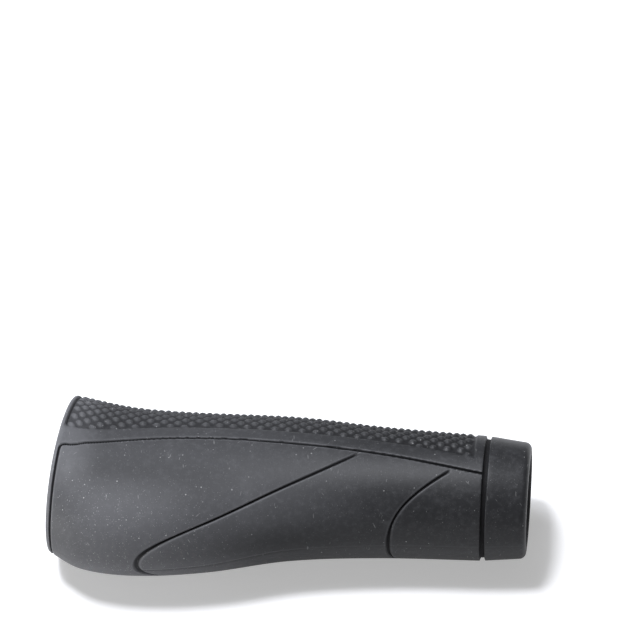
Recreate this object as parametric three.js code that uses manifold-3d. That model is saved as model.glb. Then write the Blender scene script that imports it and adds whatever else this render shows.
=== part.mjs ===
// Handlebar grip: one rubber moulding that slides over the end of a handlebar.
// X runs along the bar from the closed end to the open one, +Y is the front with the band of
// knobs, -Y is the palm wing at the rear, and +Z is the upper panel side. Millimetres.
import * as THREE from 'three';
import { mergeVertices } from 'three/addons/utils/BufferGeometryUtils.js';
import Module from 'manifold-3d';

// Lengths along the bar
const bodyLength = 117.0; // closed end to the middle of the collar groove
const collarLength = 11.8; // middle of the collar groove to the open end
const endWall = 4.0; // rubber between the bore and the closed end

// Bore and collar
const boreDiameter = 22.2;
const mouthChamfer = 1.5;
const collarDiameter = 34.4;
const mouthDiameter = 31.8;
const mouthRounding = 1.6;
const collarGrooveWidth = 1.5;
const collarGrooveDepth = 0.9;

// Body: how far the front and the rear reach from the bore axis
const bodyThickness = 34.4; // from the upper side to the underside
const endFront = 24.0;
const endRear = 23.4;
const shoulderAt = 9.0;
const shoulderRear = 29.0;
const wingAt = 22.0;
const wingFront = 20.8;
const wingRear = 30.4;
const palmAt = 42.0;
const palmRear = 27.8;
const waistAt = 64.0;
const waistFront = 20.7;
const waistRear = 22.0;
const neckAt = 89.0;
const neckFront = 18.5;
const neckRear = 18.7;
const endSquareness = 2.12; // exponent of the oval section at the closed end, 2 is an ellipse
const roundFrom = 80.0; // from here to the collar the section is a plain ellipse
const rimRounding = 0.6;

// Slant of the closed end, whose rear edge stands out further than its front edge
const endSlant = 4.9; // degrees, at the bore axis
const endBowRadius = 450.0; // the end is hollow to this large radius
const endReach = 0.6; // how far it stands out at the bore axis
const slantFade = 24.0; // from here on the rings of the body are square to the bar

// Front edge of the panels, as an angle round the section from the front, in degrees
const panelAngleEnd = 94.3;
const panelAngleWing = 79.4;
const panelAnglePalm = 76.5;
const panelAngleWaist = 83.2;
const panelAngleNeck = 90.5;
const panelAngleCollar = 105.5;

// Grooves between the panels
const grooveWidth = 0.7;
const grooveDepth = 0.6;
const grooveClearance = 0.8; // how far the cutters stand out over the skin
const lipWidth = 1.3; // closed end to the groove that frames the panels
const cornerReach = 2.6; // how far the frame's corner is rounded along the body
const widenFrom = 0.6; // share of a branch's length after which it widens

// Long groove across the palm: lengths in mm along the bar, handles in mm and degrees
const slantStartAt = 82.4;
const slantStartHandle = [-22.4, 47.6];
const slantEndAt = 23.7;
const slantEndHandle = [0.0, -35.5];
const slantEndWidth = 1.9;

// Curved groove near the collar, which starts just below the frame
const hookStartAt = 107.4;
const hookStartGap = 1.2;
const hookStartHandle = [-12.8, 30.6];
const hookEndAt = 91.5;
const hookEndHandle = [0.0, -33.9];
const hookEndWidth = 1.3;

// Band of knobs round the front
const bandStart = 1.1;
const bandColumns = 59; // half pitches along the band
const stripWidth = 5.3; // smooth strip between the band and the panels
const knobPitch = 3.817; // along the bar
const bandRecess = 0.5;
const knobRise = 0.15; // above the smooth skin

// From one staggered row of knobs to the next, in degrees round the section
const rowAngleEnd = 4.6;
const rowAngleWing = 4.8;
const rowAnglePalm = 5.0;
const rowAngleWaist = 5.55;
const rowAngleNeck = 5.85;
const rowAngleCollar = 6.1;

// Fineness of the mesh
const rowsEachSide = 17; // knob rows either side of the front
const smoothRows = 18; // rows over the panels, round the rear
const rimSteps = 3;
const groovePointsPerLeg = 14;
const cornerStops = 5;
const lipStops = 7;

const wasm = await Module();
wasm.setup();

const gripLength = bodyLength + collarLength;
const collarRadius = collarDiameter / 2;
const mouthRadius = mouthDiameter / 2;
const boreRadius = boreDiameter / 2;
const rad = THREE.MathUtils.degToRad;

// Smooth curve through [distance, value] points, sloped at each point like its neighbours' chord
function smoothThrough(points) {
  const slopes = points.map((point, i) => {
    const before = points[Math.max(i - 1, 0)];
    const after = points[Math.min(i + 1, points.length - 1)];
    return (after[1] - before[1]) / (after[0] - before[0]);
  });
  return (x) => {
    let i = 0;
    while (i < points.length - 2 && x > points[i + 1][0]) {
      i += 1;
    }
    const [x0, y0] = points[i];
    const [x1, y1] = points[i + 1];
    const h = x1 - x0;
    const t = THREE.MathUtils.clamp((x - x0) / h, 0, 1);
    const rise = t * t * (3 - 2 * t);
    const leave = t * (1 - t) * (1 - t) * h * slopes[i];
    const arrive = t * t * (t - 1) * h * slopes[i + 1];
    return y0 + (y1 - y0) * rise + leave + arrive;
  };
}

const frontReach = smoothThrough([
  [0, endFront],
  [wingAt, wingFront],
  [waistAt, waistFront],
  [neckAt, neckFront],
  [bodyLength, collarRadius],
]);

const rearReach = smoothThrough([
  [0, endRear],
  [shoulderAt, shoulderRear],
  [wingAt, wingRear],
  [palmAt, palmRear],
  [waistAt, waistRear],
  [neckAt, neckRear],
  [bodyLength, collarRadius],
]);

const thickness = smoothThrough([
  [0, bodyThickness / 2],
  [neckAt, bodyThickness / 2],
  [bodyLength, collarRadius],
]);

const panelAngle = smoothThrough([
  [0, rad(panelAngleEnd)],
  [wingAt, rad(panelAngleWing)],
  [palmAt, rad(panelAnglePalm)],
  [waistAt, rad(panelAngleWaist)],
  [neckAt, rad(panelAngleNeck)],
  [bodyLength, rad(panelAngleCollar)],
]);

const knobRowAngle = smoothThrough([
  [0, rad(rowAngleEnd)],
  [wingAt, rad(rowAngleWing)],
  [palmAt, rad(rowAnglePalm)],
  [waistAt, rad(rowAngleWaist)],
  [neckAt, rad(rowAngleNeck)],
  [bodyLength, rad(rowAngleCollar)],
]);

// Half width, half height, middle and exponent of the section at a distance from the closed end
function sectionAt(s) {
  const t = Math.min(s, bodyLength);
  const taper = Math.max(s - bodyLength, 0) / collarLength;
  const narrowing = (collarRadius - mouthRadius) * taper;
  const front = frontReach(t);
  const rear = rearReach(t);
  const round = THREE.MathUtils.smoothstep(s, 0, roundFrom);
  return {
    middle: (front - rear) / 2,
    halfWidth: (front + rear) / 2 - narrowing,
    halfHeight: thickness(t) - narrowing,
    exponent: THREE.MathUtils.lerp(endSquareness, 2, round),
  };
}

function signedPower(value, power) {
  return Math.sign(value) * Math.abs(value) ** power;
}

// How far the slant of the closed end moves a point of the skin along the bar
function endShift(s, y) {
  const slanted = Math.tan(rad(endSlant)) * y + (y * y) / (2 * endBowRadius) - endReach;
  return slanted * (1 - THREE.MathUtils.smoothstep(s, 0, slantFade));
}

// Point of the smooth skin, set in by a distance all round the section
function skinPoint(s, angle, inset = 0) {
  const { middle, halfWidth, halfHeight, exponent } = sectionAt(s);
  const y = middle + (halfWidth - inset) * signedPower(Math.cos(angle), 2 / exponent);
  const z = (halfHeight - inset) * signedPower(Math.sin(angle), 2 / exponent);
  return new THREE.Vector3(s + endShift(s, y), y, z);
}

// Outward direction of the smooth skin
function skinNormal(s, angle) {
  const step = 0.01;
  const along = skinPoint(s + step, angle).sub(skinPoint(s - step, angle));
  const around = skinPoint(s, angle + step).sub(skinPoint(s, angle - step));
  return around.cross(along).normalize();
}

const rowCount = 2 * rowsEachSide + smoothRows;
const lastBandRow = 2 * rowsEachSide;
const bandFirstRing = rimSteps + 1;
const columnGap = knobPitch / 2;

// Angles of the rows at a distance: knob rows round the front, then wider ones over the panels
function rowAngles(s) {
  const gap = knobRowAngle(Math.min(s, bodyLength));
  const angles = [];
  for (let j = -rowsEachSide; j <= rowsEachSide; j += 1) {
    angles.push(j * gap);
  }
  const first = rowsEachSide * gap;
  const sweep = 2 * Math.PI - 2 * first;
  for (let j = 1; j < smoothRows; j += 1) {
    angles.push(first + (sweep * j) / smoothRows);
  }
  return angles;
}

// How far a mesh point of the band stands off the smooth skin
function knobLift(column, row, s, angle) {
  if (column <= 0 || column >= bandColumns || row > lastBandRow) {
    return 0;
  }
  const edge = panelAngle(s) - stripWidth / sectionAt(s).halfWidth;
  if (Math.abs(angle) > edge) {
    return 0;
  }
  return (column + row + rowsEachSide) % 2 === 0 ? knobRise : -bandRecess;
}

function ring(s, inset = 0) {
  return rowAngles(s).map((angle) => skinPoint(s, angle, inset));
}

function roundRing(s, radius) {
  return rowAngles(s).map((angle) => {
    return new THREE.Vector3(s, radius * Math.cos(angle), radius * Math.sin(angle));
  });
}

// Flat oval end with its rounded rim
function endRings() {
  const rings = [];
  for (let k = 0; k <= rimSteps; k += 1) {
    const turn = ((k / rimSteps) * Math.PI) / 2;
    rings.push(ring(rimRounding * (1 - Math.sin(turn)), rimRounding * (1 - Math.cos(turn))));
  }
  return rings.reverse();
}

function bandRings() {
  const rings = [];
  for (let column = 0; column <= bandColumns; column += 1) {
    const s = bandStart + column * columnGap;
    const points = rowAngles(s).map((angle, row) => {
      const lift = knobLift(column, row, s, angle);
      return skinPoint(s, angle).addScaledVector(skinNormal(s, angle), lift);
    });
    rings.push(points);
  }
  return rings;
}

// Collar with its groove, the rounded mouth and the blind bore
function collarRings() {
  const half = collarGrooveWidth / 2;
  const rings = [
    ring(bodyLength - half),
    ring(bodyLength - half / 2, collarGrooveDepth),
    ring(bodyLength + half / 2, collarGrooveDepth),
    ring(bodyLength + half),
  ];
  for (let k = 0; k <= rimSteps; k += 1) {
    const turn = ((k / rimSteps) * Math.PI) / 2;
    const s = gripLength - mouthRounding * (1 - Math.sin(turn));
    rings.push(ring(s, mouthRounding * (1 - Math.cos(turn))));
  }
  rings.push(roundRing(gripLength, boreRadius + mouthChamfer));
  rings.push(roundRing(gripLength - mouthChamfer, boreRadius));
  rings.push(roundRing(endWall, boreRadius));
  return rings;
}

// Faces between two neighbouring rings. The fold runs from hollow to hollow, so that each knob
// is a small pyramid
function strip(at, i, fromRow, toRow) {
  const faces = [];
  for (let j = fromRow; j < toRow; j += 1) {
    const [a, b, c, d] = [at(i, j), at(i, j + 1), at(i + 1, j + 1), at(i + 1, j)];
    if ((i - bandFirstRing + j + rowsEachSide) % 2 === 0) {
      faces.push(a, b, d, b, c, d);
    } else {
      faces.push(a, b, c, a, c, d);
    }
  }
  return faces;
}

// Faces over the panels, two columns at a time, that meet each point along the edge of the band
function wideStrip(at, i, fromRow, toRow) {
  const faces = [];
  for (let j = fromRow; j < toRow; j += 1) {
    const [a, b, c, d] = [at(i, j), at(i, j + 1), at(i + 2, j + 1), at(i + 2, j)];
    if (j === fromRow) {
      const edge = at(i + 1, j);
      faces.push(a, b, edge, b, c, edge, c, d, edge);
    } else if (j === toRow - 1) {
      const edge = at(i + 1, j + 1);
      faces.push(a, b, edge, a, edge, d, d, edge, c);
    } else {
      faces.push(a, b, c, a, c, d);
    }
  }
  return faces;
}

// Closed mesh over a row of rings, with a point at each end
function skinOverRings(rings, startPoint, endPoint) {
  const count = rowCount;
  const positions = [...rings.flat(), startPoint, endPoint].flatMap((point) => point.toArray());
  const start = rings.length * count;
  const end = start + 1;
  const at = (i, j) => i * count + (j % count);
  const faces = [];
  for (let j = 0; j < count; j += 1) {
    faces.push(start, at(0, j + 1), at(0, j));
    faces.push(end, at(rings.length - 1, j), at(rings.length - 1, j + 1));
  }
  for (let i = 0; i < rings.length - 1; i += 1) {
    const column = i - bandFirstRing;
    const pairs = bandColumns - (bandColumns % 2);
    if (column < 0 || column >= pairs) {
      faces.push(...strip(at, i, 0, count));
    } else {
      faces.push(...strip(at, i, 0, lastBandRow));
      if (column % 2 === 0) {
        faces.push(...wideStrip(at, i, lastBandRow, count));
      }
    }
  }
  const geometry = new THREE.BufferGeometry();
  geometry.setAttribute('position', new THREE.Float32BufferAttribute(positions, 3));
  geometry.setIndex(faces);
  return geometry;
}

function toSolid(geometry) {
  geometry.deleteAttribute('normal');
  geometry.deleteAttribute('uv');
  const merged = mergeVertices(geometry, 1e-5);
  return new wasm.Manifold(
    new wasm.Mesh({
      numProp: 3,
      vertProperties: new Float32Array(merged.attributes.position.array),
      triVerts: new Uint32Array(merged.index.array),
    }),
  );
}

function toGeometry(solid) {
  const mesh = solid.getMesh();
  const geometry = new THREE.BufferGeometry();
  geometry.setAttribute('position', new THREE.BufferAttribute(mesh.vertProperties, 3));
  geometry.setIndex(new THREE.BufferAttribute(mesh.triVerts, 1));
  return geometry;
}

// Cutter for a groove along a route of {s, angle, width} stops on the skin
function grooveCutter(route) {
  const points = route.map((stop) => skinPoint(stop.s, stop.angle));
  const rings = route.map((stop, i) => {
    const normal = skinNormal(stop.s, stop.angle);
    const before = points[Math.max(i - 1, 0)];
    const after = points[Math.min(i + 1, points.length - 1)];
    const side = normal.clone().cross(after.clone().sub(before)).normalize();
    const corner = (across, up) => {
      return points[i].clone().addScaledVector(side, across).addScaledVector(normal, up);
    };
    const half = stop.width / 2;
    const top = half * (1 + grooveClearance / grooveDepth / 2);
    return [
      corner(-top, grooveClearance),
      corner(top, grooveClearance),
      corner(half / 2, -grooveDepth),
      corner(-half / 2, -grooveDepth),
    ];
  });
  const positions = rings.flat().flatMap((point) => [point.x, point.y, point.z]);
  const faces = [0, 1, 2, 0, 2, 3];
  for (let i = 0; i < rings.length - 1; i += 1) {
    for (let k = 0; k < 4; k += 1) {
      const a = i * 4 + k;
      const b = i * 4 + ((k + 1) % 4);
      faces.push(a, a + 4, b, b, a + 4, b + 4);
    }
  }
  const last = (rings.length - 1) * 4;
  faces.push(last, last + 2, last + 1, last, last + 3, last + 2);
  const geometry = new THREE.BufferGeometry();
  geometry.setAttribute('position', new THREE.Float32BufferAttribute(positions, 3));
  geometry.setIndex(faces);
  return toSolid(geometry);
}

// A leg on the upper side, then the same leg mirrored on the underside
function overTheRear(leg) {
  const under = leg.slice(0, -1).map((stop) => ({ ...stop, angle: 2 * Math.PI - stop.angle }));
  return [...leg, ...under.reverse()];
}

// Frame groove: from the collar groove along the front of the panels and down the end's lip
function frameRoute() {
  const leg = [];
  for (let k = 0; k <= groovePointsPerLeg; k += 1) {
    const s = THREE.MathUtils.lerp(bodyLength, lipWidth + cornerReach, k / groovePointsPerLeg);
    leg.push({ s, angle: panelAngle(s), width: grooveWidth });
  }
  const cornerAngle = panelAngle(lipWidth + cornerReach);
  const cornerSweep = cornerReach / 2 / sectionAt(lipWidth).halfWidth;
  const corner = new THREE.QuadraticBezierCurve(
    new THREE.Vector2(lipWidth + cornerReach, cornerAngle),
    new THREE.Vector2(lipWidth, cornerAngle + cornerSweep / 2),
    new THREE.Vector2(lipWidth, cornerAngle + 2 * cornerSweep),
  );
  for (const point of corner.getPoints(cornerStops).slice(1)) {
    leg.push({ s: point.x, angle: point.y, width: grooveWidth });
  }
  const last = leg[leg.length - 1].angle;
  for (let k = 1; k <= lipStops; k += 1) {
    const angle = THREE.MathUtils.lerp(last, Math.PI, k / lipStops);
    leg.push({ s: lipWidth, angle, width: grooveWidth });
  }
  return overTheRear(leg);
}

// Groove from the frame, or a gap below it, over the rear edge, bowed by a handle at each end
function branchRoute({ startAt, gap, startHandle, endAt, endHandle, endWidth }) {
  const startAngle = panelAngle(startAt) + gap / collarRadius;
  const curve = new THREE.CubicBezierCurve(
    new THREE.Vector2(startAt, startAngle),
    new THREE.Vector2(startAt + startHandle[0], startAngle + rad(startHandle[1])),
    new THREE.Vector2(endAt + endHandle[0], Math.PI + rad(endHandle[1])),
    new THREE.Vector2(endAt, Math.PI),
  );
  const leg = curve.getPoints(groovePointsPerLeg).map((point, k) => {
    const widen = THREE.MathUtils.smoothstep(k / groovePointsPerLeg, widenFrom, 1);
    return { s: point.x, angle: point.y, width: THREE.MathUtils.lerp(grooveWidth, endWidth, widen) };
  });
  return overTheRear(leg);
}

function makeGrip() {
  const rings = [...endRings(), ...bandRings(), ...collarRings()];
  const endMiddle = sectionAt(0).middle;
  const closedEnd = new THREE.Vector3(endShift(0, endMiddle), endMiddle, 0);
  const boreEnd = new THREE.Vector3(endWall, 0, 0);
  const body = toSolid(skinOverRings(rings, closedEnd, boreEnd));
  const slant = branchRoute({
    startAt: slantStartAt,
    gap: 0,
    startHandle: slantStartHandle,
    endAt: slantEndAt,
    endHandle: slantEndHandle,
    endWidth: slantEndWidth,
  });
  const hook = branchRoute({
    startAt: hookStartAt,
    gap: hookStartGap,
    startHandle: hookStartHandle,
    endAt: hookEndAt,
    endHandle: hookEndHandle,
    endWidth: hookEndWidth,
  });
  return body
    .subtract(grooveCutter(frameRoute()))
    .subtract(grooveCutter(slant))
    .subtract(grooveCutter(hook));
}

const rubber = new THREE.MeshStandardMaterial({ color: 0x3a3a3b, roughness: 0.75, metalness: 0 });
const gripGeometry = toGeometry(makeGrip());
gripGeometry.computeVertexNormals();
gripGeometry.computeBoundingBox();
const box = gripGeometry.boundingBox;
const grip = new THREE.Mesh(gripGeometry, rubber);
grip.name = 'grip';
// The origin is below the middle of the grip, on the surface that it lies on
grip.position.set(-(box.min.x + box.max.x) / 2, -(box.min.y + box.max.y) / 2, -box.min.z);

const handlebarGrip = new THREE.Group();
handlebarGrip.add(grip);

export default handlebarGrip;
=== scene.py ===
"""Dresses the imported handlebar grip: moulded rubber skin, floor, light and camera."""
import logging
import math
from dataclasses import dataclass, field
from enum import Enum
from functools import reduce
from typing import Any, Callable, Sequence

import bmesh
import bpy
import numpy as np
from mathutils import Matrix, Vector
from mathutils.kdtree import KDTree


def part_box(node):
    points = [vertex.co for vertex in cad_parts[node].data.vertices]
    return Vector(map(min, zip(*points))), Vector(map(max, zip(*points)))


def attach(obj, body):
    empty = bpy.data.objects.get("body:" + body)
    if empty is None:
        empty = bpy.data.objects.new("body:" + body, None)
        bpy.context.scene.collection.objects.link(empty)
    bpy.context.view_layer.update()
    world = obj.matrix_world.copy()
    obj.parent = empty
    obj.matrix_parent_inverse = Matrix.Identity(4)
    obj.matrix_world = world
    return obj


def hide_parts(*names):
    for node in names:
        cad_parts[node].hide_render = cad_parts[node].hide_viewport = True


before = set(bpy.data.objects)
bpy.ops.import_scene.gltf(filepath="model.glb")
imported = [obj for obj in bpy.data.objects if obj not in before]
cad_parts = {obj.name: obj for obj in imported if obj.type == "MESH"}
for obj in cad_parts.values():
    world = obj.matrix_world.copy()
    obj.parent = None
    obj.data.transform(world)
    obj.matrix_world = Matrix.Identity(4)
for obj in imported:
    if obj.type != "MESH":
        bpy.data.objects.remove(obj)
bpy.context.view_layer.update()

LOG = logging.getLogger("handlebar_grip")
MM = 0.001
Curve = Callable[[np.ndarray], np.ndarray]
Colour = tuple[float, float, float, float]
Span = tuple[float, float]
Noise = tuple[float, float, float]
WHITE: Colour = (1.0, 1.0, 1.0, 1.0)


def smooth_through(points: Sequence[tuple[float, float]]) -> Curve:
    """Makes a smooth curve through points, sloped at each like its neighbours' chord.

    Args:
        points: Distances and values, in order of distance.

    Returns:
        A function from distances to values.
    """
    x = np.array([point[0] for point in points])
    y = np.array([point[1] for point in points])
    before = np.maximum(np.arange(len(x)) - 1, 0)
    after = np.minimum(np.arange(len(x)) + 1, len(x) - 1)
    slopes = (y[after] - y[before]) / (x[after] - x[before])

    def curve(at: np.ndarray) -> np.ndarray:
        """Gives the curve's values at some distances."""
        i = np.clip(np.searchsorted(x, at) - 1, 0, len(x) - 2)
        h = x[i + 1] - x[i]
        t = np.clip((at - x[i]) / h, 0.0, 1.0)
        rise = t * t * (3.0 - 2.0 * t)
        leave = t * (1.0 - t) ** 2 * h * slopes[i]
        arrive = t * t * (t - 1.0) * h * slopes[i + 1]
        return y[i] + (y[i + 1] - y[i]) * rise + leave + arrive

    return curve


def smoothstep(value: np.ndarray, low: float, high: float) -> np.ndarray:
    """Gives 0 below low, 1 above high and a smooth step between them."""
    t = np.clip((value - low) / (high - low), 0.0, 1.0)
    return t * t * (3.0 - 2.0 * t)


@dataclass(frozen=True)
class GripSizes:
    """Sizes of the grip in millimetres and degrees, as the solid has them."""

    body_length: float = 117.0
    collar_length: float = 11.8
    end_wall: float = 4.0
    bore_diameter: float = 22.2
    mouth_chamfer: float = 1.5
    collar_diameter: float = 34.4
    mouth_diameter: float = 31.8
    mouth_rounding: float = 1.6
    collar_groove_width: float = 1.5
    collar_groove_depth: float = 0.9
    body_thickness: float = 34.4
    end_front: float = 24.0
    end_rear: float = 23.4
    shoulder_at: float = 9.0
    shoulder_rear: float = 29.0
    wing_at: float = 22.0
    wing_front: float = 20.8
    wing_rear: float = 30.4
    palm_at: float = 42.0
    palm_rear: float = 27.8
    waist_at: float = 64.0
    waist_front: float = 20.7
    waist_rear: float = 22.0
    neck_at: float = 89.0
    neck_front: float = 18.5
    neck_rear: float = 18.7
    end_squareness: float = 2.12
    round_from: float = 80.0
    rim_rounding: float = 0.6
    end_slant: float = 4.9
    end_bow_radius: float = 450.0
    end_reach: float = 0.6
    slant_fade: float = 24.0
    panel_angles: tuple[float, ...] = (94.3, 79.4, 76.5, 83.2, 90.5, 105.5)
    row_angles: tuple[float, ...] = (4.6, 4.8, 5.0, 5.55, 5.85, 6.1)
    groove_width: float = 0.7
    groove_depth: float = 0.6
    lip_width: float = 1.3
    corner_reach: float = 2.6
    widen_from: float = 0.6
    corner_dip: float = 2.0
    corner_dip_until: float = 8.5
    band_start: float = 1.1
    band_columns: int = 59
    strip_width: float = 5.3
    knob_pitch: float = 3.817
    band_recess: float = 0.5
    knob_rise: float = 0.18
    skin_inset: float = 0.04

    @property
    def length(self) -> float:
        """Length of the grip along its bore axis."""
        return self.body_length + self.collar_length

    def along_body(self, values: Sequence[float]) -> Curve:
        """Runs a smooth curve through values at the end, wing, palm, waist, neck and collar."""
        places = (0.0, self.wing_at, self.palm_at, self.waist_at, self.neck_at, self.body_length)
        return smooth_through(list(zip(places, values)))


@dataclass(frozen=True)
class Branch:
    """A groove that branches off the frame groove and crosses the rear edge."""

    start_at: float
    gap: float
    start_handle: tuple[float, float]
    end_at: float
    end_handle: tuple[float, float]
    end_width: float


# The long slanted groove, and the hooked one near the collar
BRANCHES = (
    Branch(82.4, 0.7, (-22.4, 47.6), 23.7, (0.0, -35.5), 1.9),
    Branch(107.4, 1.2, (-12.8, 30.6), 91.5, (0.0, -33.9), 1.3),
)


class Skin:
    """The smooth outer surface of the grip, before its knobs and grooves."""

    # Distance in millimetres and radians over which the slope of the skin is taken
    SLOPE_STEP = 0.01
    NO_LENGTH = 1e-9

    def __init__(self, sizes: GripSizes) -> None:
        """Sets up the outline curves.

        Args:
            sizes: Sizes of the grip.
        """
        self.sizes = sizes
        collar = sizes.collar_diameter / 2
        self.front = smooth_through([
            (0.0, sizes.end_front),
            (sizes.wing_at, sizes.wing_front),
            (sizes.waist_at, sizes.waist_front),
            (sizes.neck_at, sizes.neck_front),
            (sizes.body_length, collar),
        ])
        self.rear = smooth_through([
            (0.0, sizes.end_rear),
            (sizes.shoulder_at, sizes.shoulder_rear),
            (sizes.wing_at, sizes.wing_rear),
            (sizes.palm_at, sizes.palm_rear),
            (sizes.waist_at, sizes.waist_rear),
            (sizes.neck_at, sizes.neck_rear),
            (sizes.body_length, collar),
        ])
        self.thickness = smooth_through([
            (0.0, sizes.body_thickness / 2),
            (sizes.neck_at, sizes.body_thickness / 2),
            (sizes.body_length, collar),
        ])
        self.panel_angle = sizes.along_body([math.radians(a) for a in sizes.panel_angles])
        self.row_angle = sizes.along_body([math.radians(a) for a in sizes.row_angles])

    def section(self, s: np.ndarray) -> tuple[np.ndarray, np.ndarray, np.ndarray, np.ndarray]:
        """Measures the section at distances from the closed end.

        Args:
            s: Distances in millimetres.

        Returns:
            Middle, half width, half height and exponent of the oval.
        """
        sizes = self.sizes
        on_body = np.minimum(s, sizes.body_length)
        taper = np.maximum(s - sizes.body_length, 0.0) / sizes.collar_length
        narrowing = (sizes.collar_diameter - sizes.mouth_diameter) / 2 * taper
        front = self.front(on_body)
        rear = self.rear(on_body)
        squareness = sizes.end_squareness
        exponent = squareness + (2.0 - squareness) * smoothstep(s, 0.0, sizes.round_from)
        half_width = (front + rear) / 2 - narrowing
        half_height = self.thickness(on_body) - narrowing
        return (front - rear) / 2, half_width, half_height, exponent

    def end_shift(self, s: np.ndarray, y: np.ndarray) -> np.ndarray:
        """Tells how far the slant of the closed end moves points along the bar."""
        sizes = self.sizes
        slanted = math.tan(math.radians(sizes.end_slant)) * y
        slanted = slanted + y * y / (2 * sizes.end_bow_radius) - sizes.end_reach
        return slanted * (1.0 - smoothstep(s, 0.0, sizes.slant_fade))

    def points(self, s: np.ndarray, angle: np.ndarray, inset: np.ndarray | float = 0.0,
               share: np.ndarray | float = 1.0) -> np.ndarray:
        """Places points on the skin.

        Args:
            s: Distances from the closed end.
            angle: Angles round the section, from the front over the upper side.
            inset: How far the section is set in.
            share: Share of the way from the section's middle to its edge.

        Returns:
            One row of x, y and z for each point, in millimetres from the bore axis at the end.
        """
        middle, half_width, half_height, exponent = self.section(s)
        power = 2.0 / exponent
        across = np.sign(np.cos(angle)) * np.abs(np.cos(angle)) ** power
        upward = np.sign(np.sin(angle)) * np.abs(np.sin(angle)) ** power
        y = middle + (half_width - inset) * across * share
        z = (half_height - inset) * upward * share
        return np.stack([s + self.end_shift(s, y), y, z], axis=-1)

    def normals(self, s: np.ndarray, angle: np.ndarray) -> np.ndarray:
        """Gives the outward directions of the skin at some points."""
        step = self.SLOPE_STEP
        along = self.points(s + step, angle) - self.points(s - step, angle)
        around = self.points(s, angle + step) - self.points(s, angle - step)
        normals = np.cross(around, along)
        length = np.linalg.norm(normals, axis=-1, keepdims=True)
        return normals / np.maximum(length, self.NO_LENGTH)


@dataclass(frozen=True)
class Groove:
    """A route of close stops on the skin, with the groove's width and strength at each."""

    s: np.ndarray
    angle: np.ndarray
    width: np.ndarray
    strength: np.ndarray


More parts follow.
